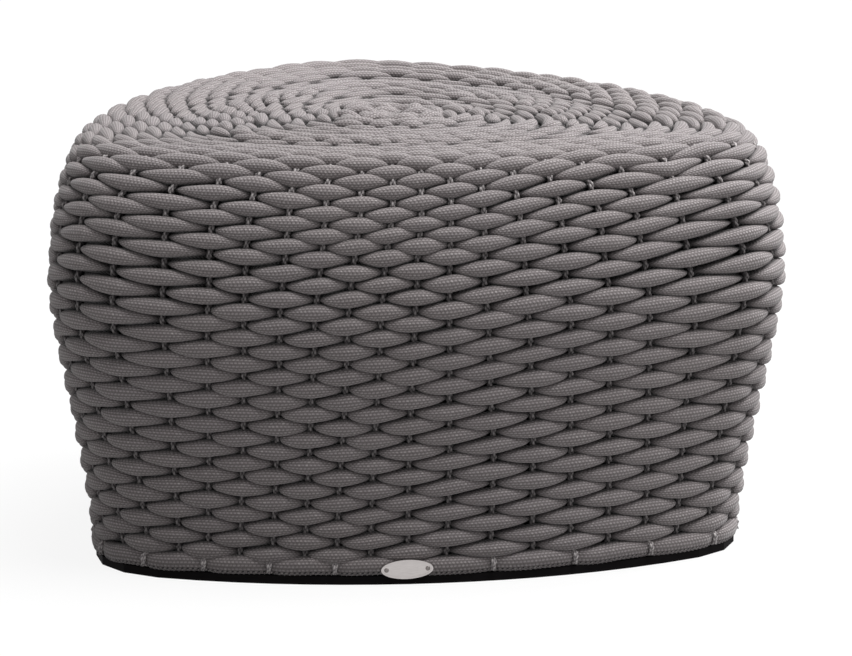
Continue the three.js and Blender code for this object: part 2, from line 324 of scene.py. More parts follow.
        # Painted highlights: pale specks only where the crowns are painted lit
        spots = {"Vector": place, "Scale": self.glint_scale, "Detail": 1.0}
        speck = add_node(tree, "ShaderNodeTexNoise", spots).outputs["Fac"]
        low, high = self.glint_range
        reach = {"Value": speck, "From Min": low, "From Max": high, "To Max": self.glint_share}
        bright = add_node(tree, "ShaderNodeMapRange", reach)
        lit = add_node(tree, "ShaderNodeMath", {0: bright, 1: shade}, operation="MULTIPLY")
        tones = {"Factor": lit, "A": braid, "B": linear(self.glint)}
        colour = add_node(tree, "ShaderNodeMix", tones, data_type="RGBA")
        own = {
            "Sheen Weight": self.sheen,
            "Sheen Roughness": self.sheen_rough,
            "Specular IOR Level": self.specular,
        }
        return self.shader(tree, self.fold_shaded(tree, place, colour), height, own)


@dataclass(frozen=True)
class BoundRope(BraidedRope):
    """The same rope where the overcast thread pierces it along the foot.

    The thread pulls tight and slants, so the needle holes are short leaning pits, too deep for
    light to reach. The mesh has no pits: each is a short leaning mark of painted shade.
    """

    name: str = "bound_olefin_rope"
    hole_share: float = 0.75
    hole_at: float = -0.95
    hole_half: tuple[float, float] = (0.26, 0.13)
    hole_beat: tuple[float, float] = (-0.1, 0.5)
    hole_lean: float = 0.9

    def shaded(self, tree: Tree, place: Node) -> Node:
        """Adds painted shade for the needle holes to the painted shade of the folds.

        Args:
            tree: node tree.
            place: node that gives the rope's map.

        Returns:
            The node with the shade.
        """
        folds = super().shaded(tree, place)
        axes = add_node(tree, "ShaderNodeSeparateXYZ", {0: place}).outputs
        pair = {0: axes["Y"], 1: self.hole_at}
        rise = add_node(tree, "ShaderNodeMath", pair, operation="SUBTRACT")
        lean = {0: rise, 1: -self.hole_lean, 2: axes["X"]}
        leaning = add_node(tree, "ShaderNodeMath", lean, operation="MULTIPLY_ADD")
        pair = {0: leaning, 1: TURN * self.hole_share}
        turned = add_node(tree, "ShaderNodeMath", pair, operation="MULTIPLY")
        beat = add_node(tree, "ShaderNodeMath", {0: turned}, operation="COSINE")
        apart = add_node(tree, "ShaderNodeMath", {0: rise}, operation="ABSOLUTE")
        inside = []
        for value, (low, high) in ((beat, self.hole_beat), (apart, self.hole_half)):
            reach = {"Value": value, "From Min": low, "From Max": high}
            inside.append(
                add_node(tree, "ShaderNodeMapRange", reach, interpolation_type="SMOOTHSTEP")
            )
        pair = {0: inside[0], 1: inside[1]}
        # Painted shade of the needle holes
        hole_shade = add_node(tree, "ShaderNodeMath", pair, operation="MULTIPLY")
        return add_node(tree, "ShaderNodeMath", {0: folds, 1: hole_shade}, operation="MAXIMUM")


@dataclass(frozen=True)
class TwistedCord(FoldShadedYarn):
    """Polyester cord laid up from plies of continuous yarn.

    The plies run round each strand as fine slanted lines, a little paler than the rope, with
    painted shade in the grooves between them.
    """

    name: str = "twisted_polyester_cord"
    ply: str = "#d2cccb"
    groove_shade: str = "#7c7678"
    rough: float = 0.7
    relief: float = 0.15 * MM
    relief_strength: float = 0.8
    ply_scale: float = 0.5
    waver: float = 0.4

    def surface(self, tree: Tree) -> Node:
        """Builds the slanted plies on the strand's own map, with painted shade in their grooves
        and in the folds.

        Args:
            tree: empty node tree.

        Returns:
            The shader node at the end.
        """
        place = add_node(tree, "ShaderNodeUVMap", uv_map=BRAID_MAP)
        lines = {"Vector": place, "Scale": self.ply_scale, "Distortion": self.waver}
        kind = {"wave_type": "BANDS", "bands_direction": "DIAGONAL"}
        plies = add_node(tree, "ShaderNodeTexWave", lines, **kind).outputs["Fac"]
        # Painted shade: the grooves between the plies are darker
        tones = {"Factor": plies, "A": linear(self.groove_shade), "B": linear(self.ply)}
        colour = add_node(tree, "ShaderNodeMix", tones, data_type="RGBA")
        fold_shaded = self.fold_shaded(tree, place, colour)
        return self.shader(tree, fold_shaded, plies, {"Sheen Weight": self.sheen})


@dataclass(frozen=True)
class TwoTone(Finish):
    """A hard finish whose fine pattern runs between a dark and a light tone."""

    dark: str = "#000000"
    light: str = WHITE

    def pattern(self, tree: Tree) -> tuple[Socket, Socket, Inputs]:
        """Builds the pattern.

        Args:
            tree: empty node tree.

        Returns:
            The sockets with the share of the light tone and with the relief, and the inputs of
            the shader that are the finish's own.
        """
        raise NotImplementedError

    def surface(self, tree: Tree) -> Node:
        """Tones the pattern.

        Args:
            tree: empty node tree.

        Returns:
            The shader node at the end.
        """
        share, height, own = self.pattern(tree)
        tones = {"Factor": share, "A": linear(self.dark), "B": linear(self.light)}
        colour = add_node(tree, "ShaderNodeMix", tones, data_type="RGBA")
        return self.shader(tree, colour, height, own)


@dataclass(frozen=True)
class MouldedPlastic(TwoTone):
    """Glass-filled polypropylene, injection moulded against a spark-eroded tool.

    The tool leaves an even, very fine grain, which scatters light softly over the black.
    """

    name: str = "moulded_polypropylene"
    dark: str = "#131112"
    light: str = "#1a1819"
    rough: float = 0.8
    relief_strength: float = 0.3
    specular: float = 0.06
    # The real grain of about 0.1 mm would not show, so it is drawn coarser
    grain: float = 1.2 * MM
    scuff: float = 25 * MM

    def pattern(self, tree: Tree) -> tuple[Socket, Socket, Inputs]:
        """Builds the eroded grain and faint scuffs.

        Args:
            tree: empty node tree.

        Returns:
            What `TwoTone.pattern` says.
        """
        where = add_node(tree, "ShaderNodeTexCoord").outputs["Object"]
        sizes = ((self.grain, 2.0), (self.scuff, 4.0))
        grain, scuffs = (
            add_node(
                tree, "ShaderNodeTexNoise", {"Vector": where, "Scale": 1 / size, "Detail": detail}
            ).outputs["Fac"]
            for size, detail in sizes
        )
        return scuffs, grain, {"Specular IOR Level": self.specular}


@dataclass(frozen=True)
class PowderCoat(TwoTone):
    """Aluminium plate under baked polyester powder.

    The coat flows out to a soft orange-peel skin, dark grey and half matt.
    """

    name: str = "powder_coated_aluminium"
    dark: str = "#343437"
    light: str = "#404044"
    relief_strength: float = 0.2
    peel: float = 2.5 * MM

    def pattern(self, tree: Tree) -> tuple[Socket, Socket, Inputs]:
        """Builds the orange peel.

        Args:
            tree: empty node tree.

        Returns:
            What `TwoTone.pattern` says.
        """
        where = add_node(tree, "ShaderNodeTexCoord").outputs["Object"]
        bumps = {"Vector": where, "Scale": 1 / self.peel, "Detail": 1.0}
        peel = add_node(tree, "ShaderNodeTexNoise", bumps).outputs["Fac"]
        return peel, peel, {}


@dataclass(frozen=True)
class BrushedMetal(TwoTone):
    """Stainless steel drawn over an abrasive belt.

    The belt leaves fine parallel lines that stretch each highlight across them.
    """

    name: str = "brushed_stainless_steel"
    dark: str = "#a9a3a2"
    light: str = "#cfcac8"
    rough: float = 0.34
    relief: float = 0.04 * MM
    relief_strength: float = 0.25
    smoother: float = 0.08
    rougher: float = 0.12
    # Real belt lines are about 0.05 mm apart, so they are drawn coarser to show
    line: float = 0.35 * MM
    length: float = 20 * MM

    def pattern(self, tree: Tree) -> tuple[Socket, Socket, Inputs]:
        """Builds the belt lines along X.

        Args:
            tree: empty node tree.

        Returns:
            What `TwoTone.pattern` says.
        """
        where = add_node(tree, "ShaderNodeTexCoord").outputs["Object"]
        scale = (1 / self.length, 1 / self.line, 1 / self.line)
        drawn = add_node(tree, "ShaderNodeMapping", {"Vector": where, "Scale": scale})
        noise = {"Vector": drawn, "Scale": 1.0, "Detail": 3.0}
        lines = add_node(tree, "ShaderNodeTexNoise", noise).outputs["Fac"]
        low, high = self.rough - self.smoother, self.rough + self.rougher
        reach = {"Value": lines, "To Min": low, "To Max": high}
        gloss = add_node(tree, "ShaderNodeMapRange", reach)
        return lines, lines, {"Roughness": gloss, "Metallic": 1.0}


# Form of the object, in metres, as its source gives it


def bezier(points: Array, count: int) -> Array:
    """Points along a cubic curve.

    Args:
        points: its four control points.
        count: how many points to give.

    Returns:
        The points, evenly spaced in the curve's parameter.
    """
    t = np.linspace(0.0, 1.0, count)[:, None]
    a, b, c, d = points
    return (1 - t) ** 3 * a + 3 * (1 - t) ** 2 * t * b + 3 * (1 - t) * t**2 * c + t**3 * d


@dataclass(frozen=True)
class Plan:
    """Rounded triangle seen from above: three corner circles joined by shallow arcs."""

    corner_reach: float = 344 * MM
    side_reach: float = 272 * MM
    corner_radius: float = 96 * MM

    def reach(self, bearing: Array) -> Array:
        """Distance from the middle of the plan to the outline.

        Args:
            bearing: directions in radians, counter-clockwise from +X.

        Returns:
            The distance at each bearing.
        """
        third = TURN / CORNERS
        corner = self.corner_reach - self.corner_radius
        side = self.side_reach - self.corner_radius
        back = (corner**2 - side**2) / (2 * side - corner)
        radius = back + self.side_reach
        off = np.abs(np.mod(bearing + math.pi / 2 + third / 2, third) - third / 2)
        touch = math.atan2(corner * math.sin(third / 2), corner * math.cos(third / 2) + back)
        limit = math.atan2(radius * math.sin(touch), radius * math.cos(touch) - back)
        side_line = -back * np.cos(off) + np.sqrt(radius**2 - (back * np.sin(off)) ** 2)
        turn = off - third / 2
        spare = np.maximum(self.corner_radius**2 - (corner * np.sin(turn)) ** 2, 0)
        corner_line = corner * np.cos(turn) + np.sqrt(spare)
        return np.where(off <= limit, side_line, corner_line)


@dataclass(frozen=True)
class Profile:
    """Curve over the middle of a side, from the floor over the shoulder to the middle."""

    height: float = 359 * MM
    belly_height: float = 235 * MM
    side_reach: float = 272 * MM
    foot_inset: float = 31.5 * MM
    rim_inset: float = 40.5 * MM
    foot_rise_share: float = 0.274
    belly_drop_share: float = 0.178
    belly_rise_share: float = 0.295
    rim_run_share: float = 0.84
    samples: int = 1500

    @property
    def rim_reach(self) -> float:
        """Reach at which the shoulder meets the level top."""
        return self.side_reach - self.rim_inset

    def table(self) -> tuple[Array, Array, Array]:
        """Samples the whole curve.

        Returns:
            Run along the curve, its points as reach and height, and its unit tangents.
        """
        foot, rim, side = self.side_reach - self.foot_inset, self.rim_reach, self.side_reach
        belly, top = self.belly_height, self.height
        low_rise = belly * self.foot_rise_share
        low_drop = belly * (1 - self.belly_drop_share)
        high_rise = belly + (top - belly) * self.belly_rise_share
        wall = np.array([[foot, 0], [foot, low_rise], [side, low_drop], [side, belly]])
        over = rim + self.rim_inset * self.rim_run_share
        bend = np.array([[side, belly], [side, high_rise], [over, top], [rim, top]])
        level = np.linspace([rim, top], [0, top], self.samples)
        points = np.vstack([bezier(wall, self.samples), bezier(bend, self.samples)[1:], level[1:]])
        run = np.r_[0, np.cumsum(np.hypot(*np.diff(points, axis=0).T))]
        tangent = np.gradient(points, run, axis=0)
        return run, points, tangent / np.linalg.norm(tangent, axis=1, keepdims=True)


@dataclass
class Form:
    """Woven surface of the object, as bearings round it and runs up its profile."""

    plan: Plan = field(default_factory=Plan)
    profile: Profile = field(default_factory=Profile)
    lean_deg: float = 93.8
    spread_deg: float = 2.0
    foot_twist_deg: float = -3.4
    belly_twist_deg: float = 1.5
    twist_runs: tuple[float, float] = (20 * MM, 255 * MM)

    def __post_init__(self) -> None:
        """Samples the profile once and finds the plan's middle from the frame."""
        self.run, self.points, self.tangent = self.profile.table()
        low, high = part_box("crown_ring")
        self.middle = np.array([(low.x + high.x) / 2, (low.y + high.y) / 2, 0.0])

    def bearing(self, column: Array, run: Array) -> Array:
        """Bearing of a warp, which leans a little by hand and bunches towards the corners.

        Args:
            column: warp number, which may lie between two warps.
            run: run along the profile.

        Returns:
            Bearings in radians.
        """
        turn = TURN * column / WARPS
        twist = np.interp(run, self.twist_runs, (self.foot_twist_deg, self.belly_twist_deg))
        bunch = self.spread_deg * np.cos(CORNERS * turn)
        shift = self.lean_deg + bunch + twist * np.sin(CORNERS * turn)
        return turn + np.radians(shift)

    def reach_at(self, run: float) -> float:
        """Reach of the profile over the middle of a side at one run."""
        return float(np.interp(run, self.run, self.points[:, 0]))

    def place(self, bearing: Array, run: Array, depth: Array) -> tuple[Array, Array, Array]:
        """Finds points on or under the woven surface.

        The plan is the rounded triangle at the rim and turns into a circle towards the middle.

        Args:
            bearing: bearings in radians.
            run: runs along the profile.
            depth: depths under the crests of the rope.

        Returns:
            The points, the direction up the surface and the direction out of it.
        """
        reach, height = (np.interp(run, self.run, self.points[:, i]) for i in (0, 1))
        inwards, upwards = (np.interp(run, self.run, self.tangent[:, i]) for i in (0, 1))
        centred = 1 - np.minimum(1, reach / self.profile.rim_reach)
        swell = self.plan.reach(bearing) / self.plan.side_reach - 1
        reach = reach * (1 + swell * (1 - centred**3)) - depth * upwards
        height = height + depth * inwards
        away = np.stack([np.cos(bearing), np.sin(bearing), 0 * bearing], axis=-1)
        upright = np.array([0.0, 0.0, 1.0])
        points = away * reach[..., None] + upright * height[..., None] + self.middle
        up = away * inwards[..., None] + upright * upwards[..., None]
        out = away * upwards[..., None] - upright * inwards[..., None]
        return points, up, out


@dataclass(frozen=True)
class HandLay:
    """How far the weaver's hand let the warps lean and the courses ride, side by side.

    The figures are for the warps of the front side, from `first` on, at the courses in `rows`.
    Every other side takes the same ride, mirrored at each corner so that the courses close, and
    its warps stand free.

    Most of the figures in `lean_deg` and `ride_mm` were worked out by a separate program, which
    matched a render to the photograph, and some were then changed by hand.
    """

    middle: int = 28
    first: int = 19
    rows: tuple[int, ...] = (0, 1, 5, 9, 13, 17, 20, 22, 24, 28, 30, 33, 50)
    lean_deg: tuple[tuple[float, ...], ...] = (
        (-1.1, -1.2, -1.6, -1.4, -1.2, -1.1, -1.3, -1.4, -1, -0.6, 1, 1.9, 2, 2, 2.2, 1.5, 1.7),
        (-1.1, -1.2, -1.6, -1.4, -1.2, -1.1, -1.3, -1.4, -1, -0.6, 1, 1.9, 2, 2, 2.2, 1.5, 1.7),
        (-1.3, -1.2, -1.4, -1.3, -1.1, -1.2, -1.5, -1.6, -1.3, -0.3, 1.1, 1.7, 1.8, 2, 2.2, 1.8,
         1.6),
        (-1.1, -0.9, -0.9, -1, -1, -1.1, -1.3, -1.6, -1.5, -0.5, 1.1, 1.5, 1.5, 1.6, 1.6, 1.4,
         1.9),
        (-1.3, -0.7, -0.7, -0.9, -1, -1.1, -1.1, -1.4, -1.4, -0.9, 0.1, 0.8, 1.1, 1.1, 1.2, 1.4,
         2.3),
        (-1.6, -0.8, -0.6, -0.9, -1, -1.1, -1.3, -1.4, -1.4, -1.1, -0.3, 0.5, 1.1, 1.2, 1, 1.8,
         2.8),
        (-1.5, -1, -0.6, -1.2, -1.4, -1.4, -1.5, -1.5, -1.4, -1.3, -0.7, 0.1, 1.1, 1.3, 1, 1.4,
         3.5),
        (-1.6, -1, -0.7, -1.4, -1.4, -1.3, -1.4, -1.4, -1.2, -1.3, -1, 0, 0.7, 1.1, 0.9, 1.2, 3.4),
        (-1.6, -1, -0.8, -1.4, -1, -0.7, -0.8, -1, -1.1, -1.1, -0.9, 0, 0.6, 0.7, 0.2, 0.9, 2.4),
        (-1.6, -1.4, -0.7, -1.1, -0.7, -0.3, 0.1, 0.2, -0.3, -0.7, -0.8, -0.7, 0.2, 0.2, -0.3, 0,
         1),
        (-0.8, -0.8, -0.6, -0.8, -0.6, -0.3, 0.1, 0.2, -0.3, -0.7, -0.9, -1, -0.8, -1, -1.2, 0,
         0.3),
        (-0.3, -0.3, -0.3, -0.3, -0.4, -0.2, 0, 0.1, -0.2, -0.5, -0.6, -0.8, -0.8, -0.8, -0.8, 0,
         0),
        (0,) * 17,
    )
    ride_mm: tuple[tuple[float, ...], ...] = (
        (0,) * 17,
        (0.7, -0.6, -1.4, -1.9, -2.5, -3.1, -2.8, -1.6, -0.2, -0.4, -0.5, -0.2, 0.7, 1.1, 0.8,
         0.2, 0),
        (0, -0.9, -1.4, -1.8, -2.2, -2.5, -2.6, -2, -1.4, -0.6, 0, 0.8, 1.8, 2.2, 1.9, 1.2, 0.9),
        (-0.2, -0.8, -1, -1.7, -2.2, -2.4, -2.3, -2.7, -2, -0.5, 1.5, 2.7, 3.4, 3.8, 3.3, 2.9,
         2.3),
        (0.1, -1.3, -1.7, -2.2, -2.4, -2.4, -2.2, -2, -1.2, -0.2, 1.5, 2.9, 4.1, 4, 3.9, 3.2, 3.4),
        (-1.5, -1.9, -2.7, -3.3, -3.4, -3.3, -2.9, -2.4, -2.1, -1.5, -0.1, 1.6, 2.8, 3.2, 3.5,
         2.3, 3.4),
        (2, -0.7, -2, -2.9, -3, -2.8, -2.3, -1.9, -1.6, -1.2, 0, 1.3, 2.3, 3.6, 4.2, 4.5, 6.6),
        (7.5, 4.4, 1.7, 0.2, -0.1, 0.4, 0.6, 0.9, 1.1, 1.1, 1.6, 2.7, 4.4, 5.8, 7.1, 8.8, 11.3),
        (12, 6.9, 5.1, 2.8, 2.2, 2.1, 2.2, 2.3, 2.9, 2.9, 2.8, 4.7, 5.9, 7.5, 8.8, 11.4, 14.4),
        (12.5, 9.5, 6.5, 4.8, 2.7, 1.1, 0.6, 0.7, 1, 1.5, 2.3, 4.1, 7.6, 8.5, 9.5, 12, 14),
        (14.7, 12.1, 10.4, 8.4, 3, 1, 0.5, 0.6, 0.9, 1.4, 2.6, 6.7, 9.9, 12.7, 14.1, 9, 15.5),
        (11, 9.5, 8, 5.7, 3, 0.9, 0.5, 0.5, 0.8, 1.2, 2, 5, 7, 9, 7, 7, 11),
        (0,) * 17,
    )
    rise_mm: tuple[float, ...] = (0, 2.2, 1.6, 1.6, 2.6, 3.0, 4.4, 3.2, 3.8, 5.2, 5.0, 4.0, 0)
    rise_over: tuple[float, ...] = (-0.4, 0.9, 3.5, 6.0)
    free_over: float = 3.0

    def read(self, table: tuple[tuple[float, ...], ...], row: Array, column: Array) -> Array:
        """Reads one of the tables between its rows and columns.

        Args:
            table: rows of figures, one for each warp of the front side.
            row: courses, which may lie between two courses.
            column: warps of the front side, which may lie between two warps.

        Returns:
            The figures.
        """
        figures = np.array(table, float)
        place = np.clip(column - self.first, 0, figures.shape[1] - 1)
        left = np.minimum(place.astype(int), figures.shape[1] - 2)
        step = np.clip(np.searchsorted(self.rows, row, "right") - 1, 0, len(self.rows) - 2)
        rows = np.array(self.rows, float)
        rise = np.clip((row - rows[step]) / (rows[step + 1] - rows[step]), 0, 1)
        low, high = (
            figures[at, left] + (figures[at, left + 1] - figures[at, left]) * (place - left)
            for at in (step, step + 1)
        )
        return low + (high - low) * rise

    def lay(self, row: Array, column: Array) -> tuple[Array, Array]:
        """Lean of the warps and ride of the courses at places on the cover.

        Args:
            row: courses.
            column: warps.

        Returns:
            Angles round the object in radians and lengths up it in metres.
        """
        row, column = np.broadcast_arrays(np.asarray(row, float), column)
        half, half_side = WARPS / 2, WARPS / (2 * CORNERS)
        away = np.mod(column - self.middle + half, WARPS) - half
        past = np.maximum(np.abs(away) - half_side, 0)
        mirrored = np.sign(away) * (half_side - past)
        folded = np.where(past > half_side, past - half_side, np.where(past > 0, mirrored, away))
        ride = self.read(self.ride_mm, row, self.middle + folded) * MM
        beyond = np.interp(-away - half_side, self.rise_over, (0, 1, 1, 0))
        ride = ride + np.interp(row, self.rows, self.rise_mm) * beyond * MM
        free = 1 - np.clip(past / self.free_over, 0, 1)
        near = np.clip(away, -half_side, half_side)
        lean = self.read(self.lean_deg, row, self.middle + near)
        return np.radians(lean * free), ride


# Lengths of rope and cord


@dataclass
class Length:
    """One length of rope: its middle line, the way it faces and its size at each point.

    How far its face has sunk below the face of the cover is kept for the finish, which paints
    shade by depth.
    """

    centre: Array
    up: Array
    out: Array
    half_up: Array
    half_down: Array
    half_deep: Array
    half_back: Array | None = None
    sunk: Array | None = None
    fold_shade_scale: float = 1.0
    closed: bool = False


@dataclass
class RopeMesh:
    """Lengths of rope gathered into one mesh.

    Its map counts braid strands, and each point keeps its depth in the cover.
    """

    round_power: float = 2.1
    front_cuts: int = 8
    back_cuts: int = 5
    strand: float = 3.2 * MM
    strands_round: int = 8

    def __post_init__(self) -> None:
        """Lays out the cross-section, with more points on the side that shows."""
        front = np.linspace(-0.5, 0.5, self.front_cuts + 1)
        back = np.linspace(0.5, 1.5, self.back_cuts + 1)[1:-1]
        half_turns = np.r_[front, back]
        share = 2 / self.round_power
        cosine, sine = np.cos(half_turns * math.pi), np.sin(half_turns * math.pi)
        self.out_shape = np.sign(cosine) * np.abs(cosine) ** share
        self.up_shape = np.sign(sine) * np.abs(sine) ** share
        self.behind = np.arange(len(half_turns)) > self.front_cuts
        self.around = np.r_[half_turns, half_turns[0] + 2] / 2 * self.strands_round
        self.points: list[Array] = []
        self.faces: list[list[int]] = []
        self.maps: list[Array] = []
        self.depths: list[Array] = []
        self.count = 0

    def add(self, length: Length) -> None:
        """Adds one length of rope, with its ends closed unless it is a loop.

        Args:
            length: the rope to add.
        """
        rings, sides = len(length.centre), len(self.up_shape)
        half = np.where(self.up_shape > 0, length.half_up[:, None], length.half_down[:, None])
        if length.half_back is not None:
            half = np.where(self.behind, length.half_back[:, None], half)
        width = (half * self.up_shape)[..., None] * length.up[:, None]
        deep = (length.half_deep[:, None] * self.out_shape)[..., None] * length.out[:, None]
        ring = length.centre[:, None] + width + deep
        sunk = 0 if length.sunk is None else length.sunk[:, None]
        # Depth in the cover, for the finish's painted shade in the folds
        depth = sunk + length.half_deep[:, None] * (1 - self.out_shape) * length.fold_shade_scale
        follow = np.r_[length.centre, length.centre[:1]] if length.closed else length.centre
        far = run_along(follow)
        along = far / far[-1] * max(1, round(far[-1] / self.strand))
        i, j = np.meshgrid(np.arange(len(follow) - 1), np.arange(sides), indexing="ij")
        here, there = (i % rings) * sides, ((i + 1) % rings) * sides
        right = (j + 1) % sides
        quads = np.stack([here + j, there + j, there + right, here + right], axis=-1)
        low, high = self.around[j], self.around[j + 1]
        u = np.stack([along[i], along[i + 1], along[i + 1], along[i]], axis=-1)
        v = np.stack([low, low, high, high], axis=-1)
        self.points.append(ring.reshape(-1, 3))
        self.depths.append(depth.ravel())
        self.faces += (quads.reshape(-1, 4) + self.count).tolist()
        self.maps.append(np.stack([u, v], axis=-1).reshape(-1, 2))
        start = self.count
        self.count += rings * sides
        if not length.closed:
            edge = start + np.arange(sides)
            self.close_end(edge, length.centre[0])
            self.close_end(edge[::-1] + (rings - 1) * sides, length.centre[-1])

    def close_end(self, edge: Array, middle: Array) -> None:
        """Closes an end with a fan of triangles round its middle.

        Args:
            edge: vertex numbers round the end, in the order that faces outwards.
            middle: point at the middle of the end.
        """
        fan = [[int(a), int(b), self.count] for a, b in zip(edge, np.roll(edge, -1))]
        self.points.append(middle[None])
        self.depths.append(np.zeros(1))
        self.faces += fan
        self.maps.append(np.zeros((3 * len(fan), 2)))
        self.count += 1

    def piece(self, name: str, finish: Material) -> Piece:
        """Makes the mesh object.

        Args:
            name: the piece's name.
            finish: its material.

        Returns:
            The object, smooth shaded, at the origin.
        """
        mesh = bpy.data.meshes.new(name)
        mesh.from_pydata(np.vstack(self.points), [], self.faces)
        layer = mesh.uv_layers.new(name=BRAID_MAP)
        layer.data.foreach_set("uv", np.vstack(self.maps).astype(np.float32).ravel())
        folds = mesh.attributes.new(name=FOLD_MAP, type="FLOAT", domain="POINT")
        folds.data.foreach_set("value", np.concatenate(self.depths).astype(np.float32))
        mesh.polygons.foreach_set("use_smooth", [True] * len(mesh.polygons))
        mesh.update()
        made = bpy.data.objects.new(name, mesh)
        bpy.context.scene.collection.objects.link(made)
        dress(made, finish)
        return made


def yarn_mesh() -> RopeMesh:
    """Mesh for fine round yarn, with few cuts, and three plies round it in its map."""
    return RopeMesh(round_power=2.0, front_cuts=3, back_cuts=2, strands_round=3)


def run_along(line: Array) -> Array:
    """How far along a line each of its points is."""
    return np.r_[0, np.cumsum(np.linalg.norm(np.diff(line, axis=0), axis=1))]


def frames_along(centre: Array, out: Array) -> tuple[Array, Array]:
    """Squares the facing direction of an open line to its course.

    Args:
        centre: points along the line.
        out: rough direction in which it faces at each point.

    Returns:
        The direction across the line and the one out of it, at each point.
    """
    ahead = np.gradient(centre, axis=0)
    ahead /= np.linalg.norm(ahead, axis=1, keepdims=True)
    square = out - ahead * np.sum(out * ahead, axis=1, keepdims=True)
    square /= np.linalg.norm(square, axis=1, keepdims=True)
    return np.cross(square, ahead), square


# Sub-assemblies


class Zone(Enum):
    """Parts of the cover that are made as one piece each.

    Each gives its piece, the CAD node that it stands for, its first course and the first one
    past it.
    """

    LOWER_WALL = ("lower_wall_courses", "woven_side", 1, 11)
    UPPER_WALL = ("upper_wall_courses", "woven_side", 11, 21)
    SHOULDER = ("shoulder_courses", "woven_side", 21, 35)
    OUTER_TOP = ("outer_top_courses", "woven_top", 35, 47)
    INNER_TOP = ("inner_top_courses", "woven_top", 47, 55)


ROWS = Zone.INNER_TOP.value[-1]


